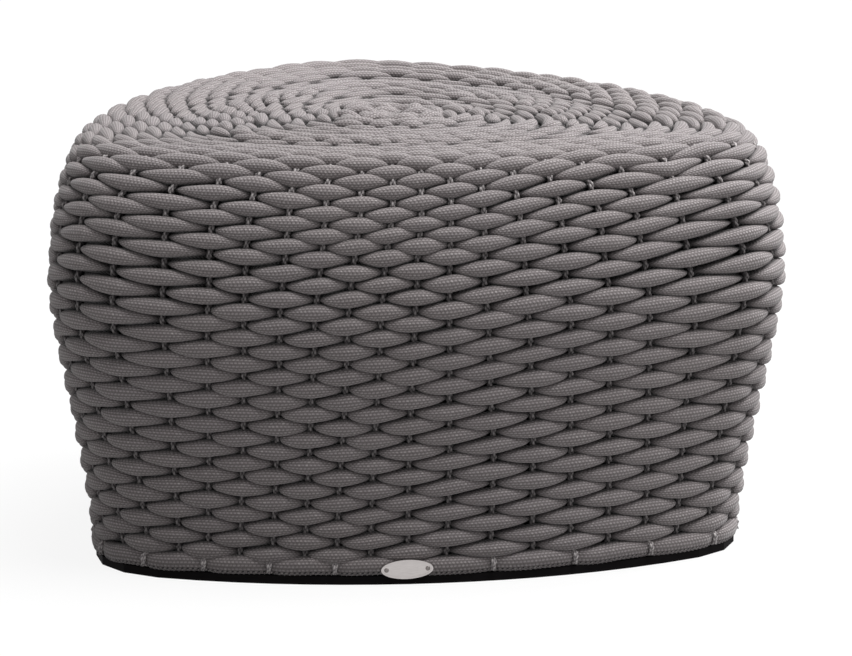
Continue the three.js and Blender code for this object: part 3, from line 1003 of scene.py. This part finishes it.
@dataclass
class RopeCourses:
    """Courses of rope that pass over one warp and under the next."""

    form: Form
    row_runs: tuple[tuple[float, float], ...] = (
        (0, 15.4 * MM),
        (20, 236.8 * MM),
        (25, 287.3 * MM),
        (30, 333.8 * MM),
        (35, 381.0 * MM),
        (54, 564.4 * MM),
    )
    hand: HandLay = field(default_factory=HandLay)
    warp_reaches: tuple[float, float] = (120 * MM, 60 * MM)
    # The rope's own shape. A pair gives the walls and the top, which change over at `top_rows`.
    top_rows: tuple[int, int] = (26, 32)
    crest_half: tuple[float, float] = (7.2 * MM, 6.8 * MM)
    crest_share: float = 0.7
    crest_deep: float = 5.7 * MM
    tip_half: tuple[float, float] = (1.7 * MM, 2.2 * MM)
    tip_deep: tuple[float, float] = (4.1 * MM, 3.2 * MM)
    back_share: float = 0.85
    course_gap: float = 1.2 * MM
    bow: tuple[float, float] = (7.6 * MM, 6.4 * MM)
    bow_power: tuple[float, float] = (2.2, 1.9)
    upper_power: float = 1.65
    lower_power: float = 1.3
    soft_edge: float = 0.12
    notch: float = 3.6 * MM
    notch_width: float = 0.15
    pinch: float = 0.25
    stations: tuple[float, ...] = (0.0, 0.2, 0.4, 0.57, 0.71, 0.82, 0.9, 0.96, 1.0)
    # The level top, which sets in over `sag_rows`: how much stronger the painted shade in its
    # folds is, and how unevenly it sags. Each wave has its depth, its length in courses, its phase
    # in turns and how far it shifts towards the sides.
    sag_rows: tuple[int, int] = (34, 40)
    fold_shade_scale: tuple[float, float] = (1.0, 1.35)
    top_sink: float = 0.9 * MM
    top_waves: tuple[tuple[float, float, float, float], ...] = (
        (3.8 * MM, 8.0, 0.5, 1.3),
        (2.2 * MM, 4.6, 0.1, -2.1),
    )
    # The bound course, straight along its lower edge
    hem_half: float = 8.4 * MM
    hem_narrow: float = 0.72
    hem_bow: float = 3.0 * MM
    hem_notch: float = 1.0 * MM
    # Small differences from bulge to bulge
    seed: int = 7
    crest_vary: float = 0.035
    tip_vary: float = 0.1
    sink_vary: float = 0.4 * MM
    stray_vary: float = 0.3 * MM
    slip_vary: float = 0.05
    tilt: float = 0.5 * MM
    tilt_vary: float = 0.6

    def __post_init__(self) -> None:
        """Draws the small differences between the bulges, row by row."""
        rng = np.random.default_rng(self.seed)
        shape = (ROWS, WARPS)
        self.crest_swell = 1 + self.crest_vary * rng.standard_normal(shape)
        self.tip_swell = 1 + self.tip_vary * rng.standard_normal(shape)
        self.sink = self.sink_vary * rng.standard_normal(shape)
        self.stray = self.stray_vary * rng.standard_normal(shape)
        self.slip = self.slip_vary * rng.standard_normal(shape)
        self.lean = self.tilt * (1 + self.tilt_vary * rng.standard_normal(shape))
        on_top = np.interp(np.arange(ROWS), self.sag_rows, (0, 1))[:, None]
        turn = (np.arange(WARPS) - self.hand.middle) * TURN / WARPS
        level = np.arange(ROWS)[:, None] - self.sag_rows[1]
        uneven = self.top_sink * rng.random(shape)
        for deep, length, phase, swing in self.top_waves:
            wave = np.cos(TURN * (level / length + phase) + swing * np.sin(turn))
            uneven = uneven + deep * (1 - wave) / 2
        self.sink = np.abs(self.sink) + uneven * on_top

    def run_at(self, row: Array) -> Array:
        """Run of a course, or of a place between two courses."""
        rows, runs = zip(*self.row_runs)
        return np.interp(row, rows, runs)

    def pitch_at(self, row: float) -> float:
        """Distance from one course to the next at a row."""
        low, high = max(row - 0.5, 0), min(row + 0.5, self.row_runs[-1][0])
        return float((self.run_at(high) - self.run_at(low)) / (high - low))

    def put(self, row: Array, column: Array) -> tuple[Array, Array]:
        """Bearing and run of places given by course and warp.

        Args:
            row: courses, which may lie between two courses.
            column: warps, which may lie between two warps.

        Returns:
            Bearings in radians and runs along the profile.
        """
        run = self.run_at(row)
        lean, ride = self.hand.lay(row, column)
        return self.form.bearing(column, run) + lean, run + ride

    def spread(self, row: int) -> int:
        """Columns from one warp in use to the next, as warps end towards the middle.

        Args:
            row: number of the course.

        Returns:
            One where every warp carries the course, two where half of them do, else four.
        """
        reach = self.form.reach_at(self.run_at(row))
        full, half = self.warp_reaches
        return 1 if reach > full else 2 if reach > half else 4

    def is_crest(self, row: int, column: int) -> bool:
        """Whether the rope of a row passes over the warp at a column."""
        return (column // self.spread(row) + row) % 2 == 0

    def sample(self, row: int, column: Array) -> Length:
        """Rope of one course at places round the object.

        Args:
            row: number of the course, from the bound edge up.
            column: places in columns, which may lie between two warps.

        Returns:
            The rope at those places, as a loop.
        """
        spread, pitch = self.spread(row), self.pitch_at(row)
        count = WARPS // (2 * spread)
        x = column / spread + row
        lens = np.floor((x + 1) / 2).astype(int)
        off = x - 2 * lens
        side = np.abs(off)
        here, tip = lens % count, np.where(off < 0, lens, lens + 1) % count
        pairs = (self.crest_half, self.tip_deep, self.bow, self.bow_power)
        crest_half, tip_deep, bow, power = (np.interp(row, self.top_rows, pair) for pair in pairs)
        fold_shade_scale = np.interp(row, self.sag_rows, self.fold_shade_scale)
        crest = min(crest_half, self.crest_share * pitch) * self.crest_swell[row, here]
        narrow = np.clip(pitch - crest_half - self.course_gap, *self.tip_half)
        narrow = narrow * self.tip_swell[row, tip]
        soft = np.sqrt((side**2 + self.soft_edge**2) / (1 + self.soft_edge**2))
        upper = 1 - side**self.upper_power
        lower = 1 - soft**self.lower_power
        squeeze = np.exp(-(((1 - side) / self.notch_width) ** 2))
        half_up = (narrow + (crest - narrow) * upper) * (1 - self.pinch * squeeze)
        half_down = (narrow + (crest - narrow) * lower) * (1 - self.pinch * squeeze)
        notch = self.notch
        if row == 0:
            bow, notch = self.hem_bow, self.hem_notch
            half_up = crest * (self.hem_narrow + (1 - self.hem_narrow) * upper)
            half_down = np.full_like(half_up, self.hem_half)
        half_deep = self.crest_deep + (tip_deep - self.crest_deep) * side**2
        face = bow * side**power + notch * squeeze
        front = face + self.sink[row, here] * upper
        slipped = column + self.slip[row, here] * spread * upper
        bearing, run = self.put(row, slipped)
        run = run + self.stray[row, here] * upper + self.lean[row, here] * np.sin(math.pi * off)
        centre, up, out = self.form.place(bearing, run, front + half_deep)
        half_back = np.maximum(np.maximum(half_up, half_down), self.back_share * pitch)
        size = (half_up, half_down, half_deep, half_back)
        return Length(centre, up, out, *size, face * fold_shade_scale, fold_shade_scale, closed=True)

    def columns(self, row: int) -> Array:
        """Places of a course's points, closer together where the rope dips.

        Args:
            row: number of the course.

        Returns:
            The places in columns, once round.
        """
        spread = self.spread(row)
        half = np.array(self.stations)
        steps = np.r_[-half[::-1], half[1:-1]]
        bulges = np.arange(WARPS // (2 * spread))
        return spread * (2 * bulges[:, None] - row + steps).ravel()

    def course(self, row: int) -> Length:
        """One whole course."""
        return self.sample(row, self.columns(row))

    def repeats(self, row: int) -> tuple[Array, Array]:
        """Places of a course's points, and the braid repeats of the rope up to each of them.

        Args:
            row: number of the course.

        Returns:
            Places in columns, and counts of repeats, both once round.
        """
        columns, centre = self.columns(row), self.course(row).centre
        far = run_along(np.r_[centre, centre[:1]])
        count = max(1, round(far[-1] / RopeMesh.strand))
        return np.r_[columns, columns[0] + WARPS], far / far[-1] * count

    def gather(self, name: str, node: str, rows: range, finish: Material) -> Piece:
        """Makes a piece of some courses in place of a CAD node.

        Args:
            name: the piece's name.
            node: the CAD node that it stands for.
            rows: numbers of its courses.
            finish: the rope's material.

        Returns:
            The piece.
        """
        mesh = RopeMesh()
        for row in rows:
            mesh.add(self.course(row))
        piece = mesh.piece(name, finish)
        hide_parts(node)
        return piece

    def build(self, finish: Material) -> list[Piece]:
        """Makes one piece for each zone of the cover.

        Args:
            finish: the rope's material.

        Returns:
            The pieces.
        """
        zones = [zone.value for zone in Zone]
        return [self.gather(name, node, range(*rows), finish) for name, node, *rows in zones]

    def build_hem(self, finish: Material) -> Piece:
        """Makes the bound course at the foot, straight along its lower edge."""
        return self.gather("bound_edge_course", "edge_binding", range(1), finish)


class Lay(Enum):
    """Which way the strands of a cord wind round each other."""

    LEFT = -1
    RIGHT = 1


@dataclass
class WarpCords:
    """Cords of three strands, laid up loosely, that the rope is woven over."""

    courses: RopeCourses
    strands: int = 3
    strand_radius: float = 1.4 * MM
    strand_offset: float = 1.5 * MM
    twist_pitch: float = 16 * MM
    lay: Lay = Lay.RIGHT
    # Depths of a cord's middle where the rope passes under and over it, by course
    depth_rows: tuple[int, ...] = (23, 27, 31, 35)
    over_depth: tuple[float, ...] = (9.5 * MM, 7.6 * MM, 6.0 * MM, 10.4 * MM)
    under_depth: tuple[float, ...] = (14.4 * MM, 14.8 * MM, 15.8 * MM, 16.6 * MM)
    hem_depth: float = 2.4 * MM
    hem_reach: float = 0.62
    inner_reach: float = 0.4
    over_steps: tuple[float, ...] = (-0.38, -0.19, 0.0, 0.19, 0.38)
    names: tuple[tuple[int, str], ...] = (
        (1, "short_warp_cords"),
        (2, "middle_warp_cords"),
        (4, "long_warp_cords"),
    )

    def group(self, column: int) -> int:
        """Group of a warp: how far towards the middle it still carries the rope."""
        return 4 if column % 4 == 0 else 2 if column % 2 == 0 else 1

    def path(self, column: int) -> Length:
        """Middle line of one warp, from the foot to where it ends on the top.

        Args:
            column: number of the warp.

        Returns:
            The line, with the size of one strand.
        """
        courses = self.courses
        rows = [row for row in range(ROWS) if courses.spread(row) <= self.group(column)]
        first, last = rows[0], rows[-1]
        crest = [courses.is_crest(row, column) for row in rows]
        over = np.interp(rows, self.depth_rows, self.over_depth)
        under = np.interp(rows, self.depth_rows, self.under_depth)
        over[0] = self.hem_depth
        steps = [[row] if c else [row + s for s in self.over_steps] for row, c in zip(rows, crest)]
        place = np.clip(np.concatenate(steps), first, last)
        place = np.unique(np.r_[first - self.hem_reach, place, last + self.inner_reach])
        whole = np.clip(np.floor(place), first, last - 1).astype(int)
        ease = (1 - np.cos(math.pi * np.clip(place - whole, 0, 1))) / 2
        table = np.where(crest, under, over)
        depth = table[whole] + (table[whole + 1] - table[whole]) * ease
        inside = np.clip(place, first, last)
        bearing, run = courses.put(inside, np.full_like(inside, column))
        run = run + (place - inside) * courses.pitch_at(last)
        centre, _, out = courses.form.place(bearing, run, depth)
        across, square = frames_along(centre, out)
        size = np.full(len(run), self.strand_radius)
        return Length(centre, across, square, size, size, size, sunk=depth - self.strand_radius)

    def build(self, finish: Material) -> list[Piece]:
        """Makes one piece for each group of warps.

        Args:
            finish: the cord's material.

        Returns:
            The pieces.
        """
        made = []
        for group, name in self.names:
            mesh = yarn_mesh()
            for column in (c for c in range(WARPS) if self.group(c) == group):
                line = self.path(column)
                turn = run_along(line.centre) * TURN / self.twist_pitch * self.lay.value
                for start in np.arange(self.strands) * TURN / self.strands:
                    wave = turn + start
                    aside, ahead = np.sin(wave), np.cos(wave)
                    swing = line.out * ahead[:, None] + line.up * aside[:, None]
                    centre = line.centre + swing * self.strand_offset
                    size = [line.half_up] * 3
                    # How deep each strand lies, for the painted shade in the folds
                    sunk = line.sunk - self.strand_offset * ahead
                    mesh.add(Length(centre, line.up, line.out, *size, sunk=sunk))
            made.append(mesh.piece(name, finish))
        return made


@dataclass
class HemStitches:
    """Overcast stitches that bind the last course, one loop after another."""

    courses: RopeCourses
    share: float = BoundRope.hole_share
    thread_radius: float = 0.55 * MM
    slant: float = -0.04
    angles_deg: tuple[float, ...] = (-44, -56, -70, -84, -98)

    def build(self, finish: Material) -> Piece:
        """Makes all the stitches as one piece.

        Args:
            finish: the thread's material.

        Returns:
            The piece.
        """
        columns, repeats = self.courses.repeats(0)
        mesh = yarn_mesh()
        angle = np.radians(self.angles_deg)
        for place in np.interp(np.arange(0, repeats[-1], 1 / self.share), repeats, columns):
            column = place + self.slant * np.linspace(0, 1, len(angle))
            rope = self.courses.sample(0, column)
            down = rope.half_down[:, None] * np.sin(angle)[:, None] * rope.up
            away = rope.half_deep[:, None] * np.cos(angle)[:, None] * rope.out
            line = rope.centre + (down + away)
            across, square = frames_along(line, down + away)
            size = np.full(len(line), self.thread_radius)
            mesh.add(Length(line, across, square, size, size, size))
        return mesh.piece("hem_stitches", finish)


@dataclass
class StartKnot:
    """Rope coiled and tucked over itself where the weaving began."""

    form: Form
    inner_radius: float = 7 * MM
    outer_radius: float = 36 * MM
    turns: float = 2.4
    long_share: float = 1.12
    half_width: float = 6.3 * MM
    half_deep: float = 5.2 * MM
    sunk: float = 2.0 * MM
    wave: float = 4.0 * MM
    wave_length: float = 33 * MM
    coil_points: int = 120
    tuck_points: int = 15
    reach: float = 17 * MM
    bend: float = 4 * MM
    dive: float = 8.5 * MM
    # Bearing and distance of each tucked length's middle, and the way it runs, in degrees
    tucks: tuple[tuple[float, float, float], ...] = (
        (0, 17 * MM, 4),
        (52, 30 * MM, 70),
        (110, 33 * MM, 150),
        (152, 34 * MM, 172),
        (186, 45 * MM, -52),
        (222, 30 * MM, 205),
        (268, 31 * MM, 8),
        (318, 32 * MM, 40),
    )

    def coil(self) -> Length:
        """Flat coil of rope, a little longer along X than along Y.

        Returns:
            The rope.
        """
        share = np.linspace(0, 1, self.coil_points)
        radius = self.inner_radius + (self.outer_radius - self.inner_radius) * share
        turn = share * self.turns * TURN
        x, y = radius * np.cos(turn) * self.long_share, radius * np.sin(turn)
        flat = np.stack([x, y, 0 * x], axis=-1)
        drop = self.wave * (1 - np.cos(run_along(flat) * TURN / self.wave_length)) / 2
        flat[:, 2] = self.form.profile.height - self.half_deep - self.sunk - drop
        return self.laid(flat + self.form.middle)

    def tuck(self, bearing_deg: float, radius: float, heading_deg: float) -> Length:
        """Short length that lies over the coil and dives under it at both ends.

        Args:
            bearing_deg: where its middle is, as an angle round the coil.
            radius: how far its middle is from the middle of the coil.
            heading_deg: which way it runs.

        Returns:
            The rope.
        """
        share = np.linspace(-1, 1, self.tuck_points)
        bearing, heading = math.radians(bearing_deg), math.radians(heading_deg)
        middle = np.array([math.cos(bearing), math.sin(bearing), 0]) * radius
        ahead = np.array([math.cos(heading), math.sin(heading), 0])
        aside = np.array([-math.sin(heading), math.cos(heading), 0])
        line = middle + ahead * (share[:, None] * self.reach)
        line = line + aside * (share[:, None] ** 3 * self.bend)
        line[:, 2] = self.form.profile.height - self.half_deep - self.dive * share**2
        return self.laid(line + self.form.middle)

    def laid(self, centre: Array) -> Length:
        """Rope that lies along a line and faces up.

        Args:
            centre: points along the line.

        Returns:
            The rope.
        """
        across, out = frames_along(centre, np.tile([0.0, 0.0, 1.0], (len(centre), 1)))
        wide, deep = np.full(len(centre), self.half_width), np.full(len(centre), self.half_deep)
        return Length(centre, across, out, wide, wide, deep)

    def build(self, finish: Material) -> Piece:
        """Makes the coil and the tucked lengths as one piece.

        Args:
            finish: the rope's material.

        Returns:
            The piece.
        """
        mesh = RopeMesh()
        mesh.add(self.coil())
        for tuck in self.tucks:
            mesh.add(self.tuck(*tuck))
        piece = mesh.piece("start_coil", finish)
        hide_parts("start_knot")
        return piece


@dataclass
class Hardware:
    """CAD nodes whose shapes stay, grouped by the finish that they get."""

    plastic: tuple[str, ...] = ("base_band", "base_panel")
    steel: tuple[str, ...] = ("panel_screw_", "badge_rivet_")
    badge: str = "badge"
    turned: BrushedMetal = BrushedMetal(
        name="turned_stainless_steel", dark="#6b6664", light="#8d8785", rough=0.36
    )

    def dress(self, nodes: dict[str, Piece]) -> None:
        """Gives each CAD node its finish.

        Args:
            nodes: the frame's nodes by name.
        """
        plastic = MouldedPlastic().material()
        coat = PowderCoat().material()
        steel = self.turned.material()
        satin = BrushedMetal(name="satin_stamped_steel").material()
        for name, node in nodes.items():
            if name in self.plastic:
                finish = plastic
            elif name == self.badge:
                finish = satin
            elif name.startswith(self.steel):
                finish = steel
            else:
                finish = coat
            dress(node, finish)


# Studio


@dataclass
class Studio:
    """Pale floor, soft lamps and the camera at the photograph's viewing angle."""

    eye: Point = (-0.6598, -4.3814, 1.0354)
    target: Point = (0.0240, -0.0398, 0.1674)
    lens: float = 220.4
    sensor: float = 36.0
    floor_size: float = 30.0
    floor_bounce: str = "#9a9a9a"
    floor_lift: float = 0.9
    sky: float = 0.22
    sun: float = 3.35
    sun_angle_deg: float = 45.0
    sun_tilt_deg: tuple[float, float] = (5.0, 19.0)
    softbox_at: Point = (0.95, 0.3, 0.95)
    softbox_aim: Point = (0.15, 0.0, 0.36)
    softbox_size: float = 0.6
    softbox_power: float = 10.0

    def place(self, name: str, data: bpy.types.ID) -> Piece:
        """Puts a camera or a lamp in the scene.

        Args:
            name: its name.
            data: the camera or lamp.

        Returns:
            The object.
        """
        made = bpy.data.objects.new(name, data)
        bpy.context.scene.collection.objects.link(made)
        return made

    def aim(self, made: Piece, at: Point, target: Point) -> None:
        """Stands a camera or a lamp at a point and turns it to face another."""
        made.location = at
        made.rotation_euler = (Vector(target) - Vector(at)).to_track_quat("-Z", "Y").to_euler()

    def camera(self) -> None:
        """Places the camera and makes it the scene's own."""
        data = bpy.data.cameras.new("camera")
        data.lens, data.sensor_width = self.lens, self.sensor
        made = self.place("camera", data)
        self.aim(made, self.eye, self.target)
        bpy.context.scene.camera = made

    def shown(self, tree: Tree) -> Socket:
        """Tells rays that show a surface, by camera, gloss or glass, from those that light it.

        Args:
            tree: node tree that takes the nodes.

        Returns:
            A socket that gives 1 for rays that show the surface.
        """
        path = add_node(tree, "ShaderNodeLightPath")
        seen = path.outputs["Is Camera Ray"]
        for ray in ("Is Glossy Ray", "Is Transmission Ray"):
            pair = {0: seen, 1: path.outputs[ray]}
            seen = add_node(tree, "ShaderNodeMath", pair, operation="MAXIMUM").outputs[0]
        return seen

    def floor(self) -> None:
        """Lays the pale floor."""
        bpy.ops.object.select_all(action="DESELECT")
        bpy.ops.mesh.primitive_plane_add(size=self.floor_size)
        made = bpy.context.object
        made.name = "floor"
        finish = bpy.data.materials.new("white_paper")
        finish.use_nodes = True
        tree = finish.node_tree
        tree.nodes.clear()
        seen = self.shown(tree)
        tones = {"Factor": seen, "A": linear(self.floor_bounce), "B": linear(WHITE)}
        tone = add_node(tree, "ShaderNodeMix", tones, data_type="RGBA")
        matt = {"Base Color": tone, "Roughness": 1.0, "Specular IOR Level": 0.0}
        paper = add_node(tree, "ShaderNodeBsdfPrincipled", matt)
        glow = add_node(tree, "ShaderNodeEmission", {"Strength": 1.0})
        share = {0: seen, 1: self.floor_lift}
        lift = add_node(tree, "ShaderNodeMath", share, operation="MULTIPLY")
        mixed = add_node(tree, "ShaderNodeMixShader", {0: lift, 1: paper, 2: glow})
        add_node(tree, "ShaderNodeOutputMaterial", {"Surface": mixed})
        dress(made, finish)

    def world(self) -> None:
        """Lights the scene evenly, and shows white behind it."""
        world = bpy.data.worlds.new("studio")
        bpy.context.scene.world = world
        world.use_nodes = True
        tree = world.node_tree
        tree.nodes.clear()
        seen = self.shown(tree)
        sky, backdrop = (
            add_node(tree, "ShaderNodeBackground", {"Color": linear(WHITE), "Strength": strength})
            for strength in (self.sky, 1.0)
        )
        mixed = add_node(tree, "ShaderNodeMixShader", {0: seen, 1: sky, 2: backdrop})
        add_node(tree, "ShaderNodeOutputWorld", {"Surface": mixed})

    def lamps(self) -> None:
        """Lights the scene softly from overhead, and a little more on the right of the top."""
        data = bpy.data.lights.new("overhead", "SUN")
        data.energy, data.angle = self.sun, math.radians(self.sun_angle_deg)
        made = self.place("overhead", data)
        made.rotation_euler = (*(math.radians(a) for a in self.sun_tilt_deg), 0.0)
        data = bpy.data.lights.new("softbox", "AREA")
        data.energy, data.size = self.softbox_power, self.softbox_size
        made = self.place("softbox", data)
        self.aim(made, self.softbox_at, self.softbox_aim)
        made.visible_camera = False

    def build(self) -> None:
        """Sets up everything round the object."""
        self.camera()
        self.floor()
        self.world()
        self.lamps()
        bpy.context.scene.view_settings.view_transform = "Standard"


def main() -> None:
    """Builds the dressed object and the studio round it."""
    logging.basicConfig(level=logging.INFO, format="%(name)s: %(message)s")
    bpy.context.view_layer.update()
    Studio().build()
    rope, cord = BraidedRope().material(), TwistedCord().material()
    courses = RopeCourses(Form())
    pieces = courses.build(rope)
    pieces.append(courses.build_hem(BoundRope().material()))
    pieces.append(StartKnot(courses.form).build(rope))
    pieces += WarpCords(courses).build(cord)
    # The thread's own ply colour, with painted shade in its grooves
    thread = TwistedCord(name="overcast_polyester_thread", ply="#b5afaf", groove_shade="#645e60")
    pieces.append(HemStitches(courses).build(thread.material()))
    for piece in pieces:
        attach(piece, BODY)
        log.info("%s: %d faces", piece.name, len(piece.data.polygons))
    Hardware().dress(frame["nodes"])
    log.info("%d CAD nodes dressed", len(frame["nodes"]))
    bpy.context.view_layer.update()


if __name__ == "__main__":
    main()
